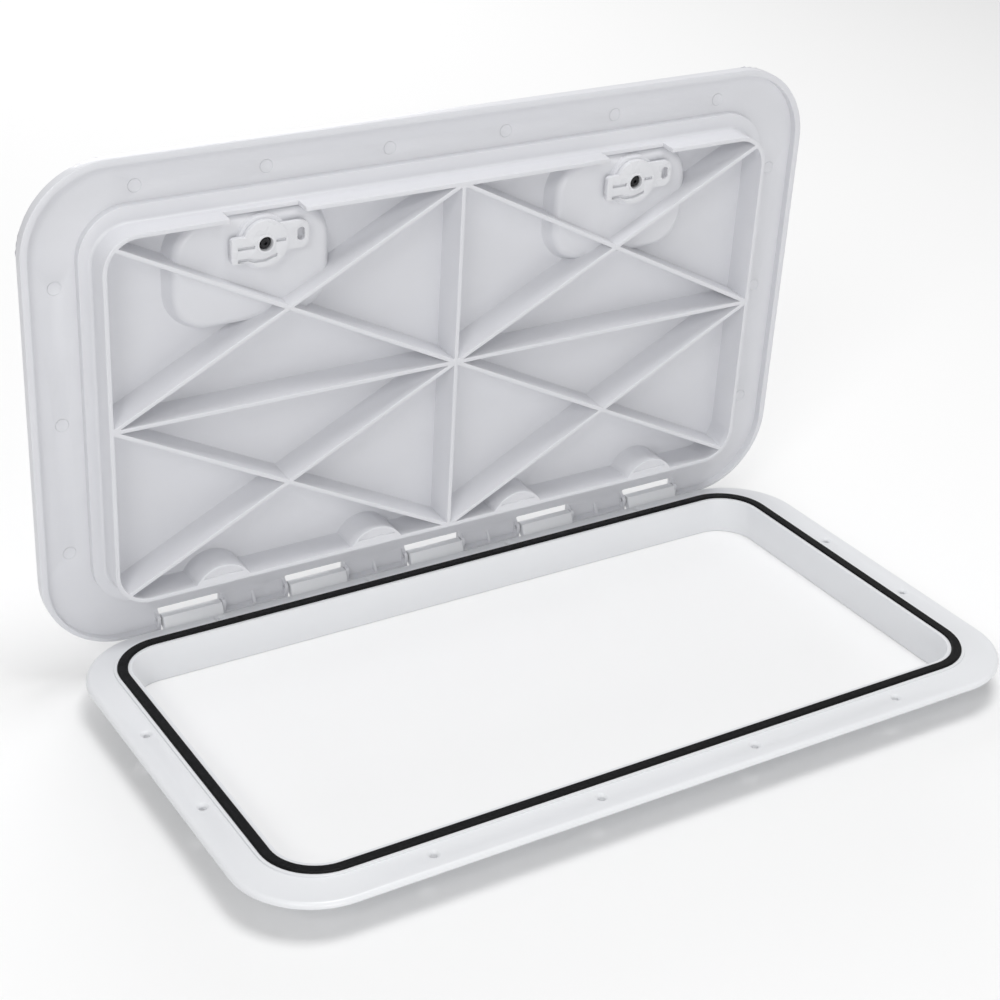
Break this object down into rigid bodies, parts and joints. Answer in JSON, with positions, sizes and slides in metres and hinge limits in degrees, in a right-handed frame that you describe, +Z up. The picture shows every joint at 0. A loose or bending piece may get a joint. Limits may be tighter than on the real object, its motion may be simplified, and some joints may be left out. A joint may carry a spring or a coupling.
{
  "type": "deck hatch",
  "caption": "White rectangular boat deck access hatch: flanged frame with rubber seal and hinged ribbed tray lid held by quarter-turn cam latches.",
  "frame": {"origin": "centre of the hatch's clear opening at the deck plane, the underside of the frame's flange", "axes": "+X along the long side, +Y towards the hinge side, +Z up out of the deck; the lid is stored standing open 87 degrees"},
  "size_m": [0.606, 0.3448, 0.376],
  "materials": {
    "frame_plastic": "satin white moulded",
    "lid_plastic": "satin white moulded",
    "cam_plastic": "satin white moulded",
    "handle_plastic": "satin white moulded",
    "washer_plastic": "matte",
    "seal_rubber": "matte black",
    "pin_steel": "stainless",
    "screw_steel": "stainless"
  },
  "bodies": {
    "frame": {"frame": "frame_plastic", "seal": "seal_rubber", "hinge_pin_1": "pin_steel", "hinge_pin_2": "pin_steel", "hinge_pin_3": "pin_steel", "hinge_pin_4": "pin_steel", "hinge_pin_5": "pin_steel"},
    "lid": {"lid": "lid_plastic", "stem_seal_left": "seal_rubber", "stem_seal_right": "seal_rubber", "thrust_washer_left": "washer_plastic", "thrust_washer_right": "washer_plastic"},
    "latch_left": {"handle_left": "handle_plastic", "cam_left": "cam_plastic", "lock_washer_left": "screw_steel", "cam_screw_left": "screw_steel"},
    "latch_right": {"handle_right": "handle_plastic", "cam_right": "cam_plastic", "lock_washer_right": "screw_steel", "cam_screw_right": "screw_steel"}
  },
  "joints": [
    {"name": "lid_hinge", "type": "hinge", "parent": "frame", "child": "lid", "pos_m": [0, 0.1652, 0.009], "axis": [1, 0, 0], "range_deg": [-8, 87]},
    {"name": "latch_left_turn", "type": "hinge", "parent": "lid", "child": "latch_left", "pos_m": [-0.1445, 0.14168, 0.28585], "axis": [0, -0.9986, -0.0523], "range_deg": [0, 90]},
    {"name": "latch_right_turn", "type": "hinge", "parent": "lid", "child": "latch_right", "pos_m": [0.1445, 0.14168, 0.28585], "axis": [0, -0.9986, -0.0523], "range_deg": [0, 90]}
  ]
}
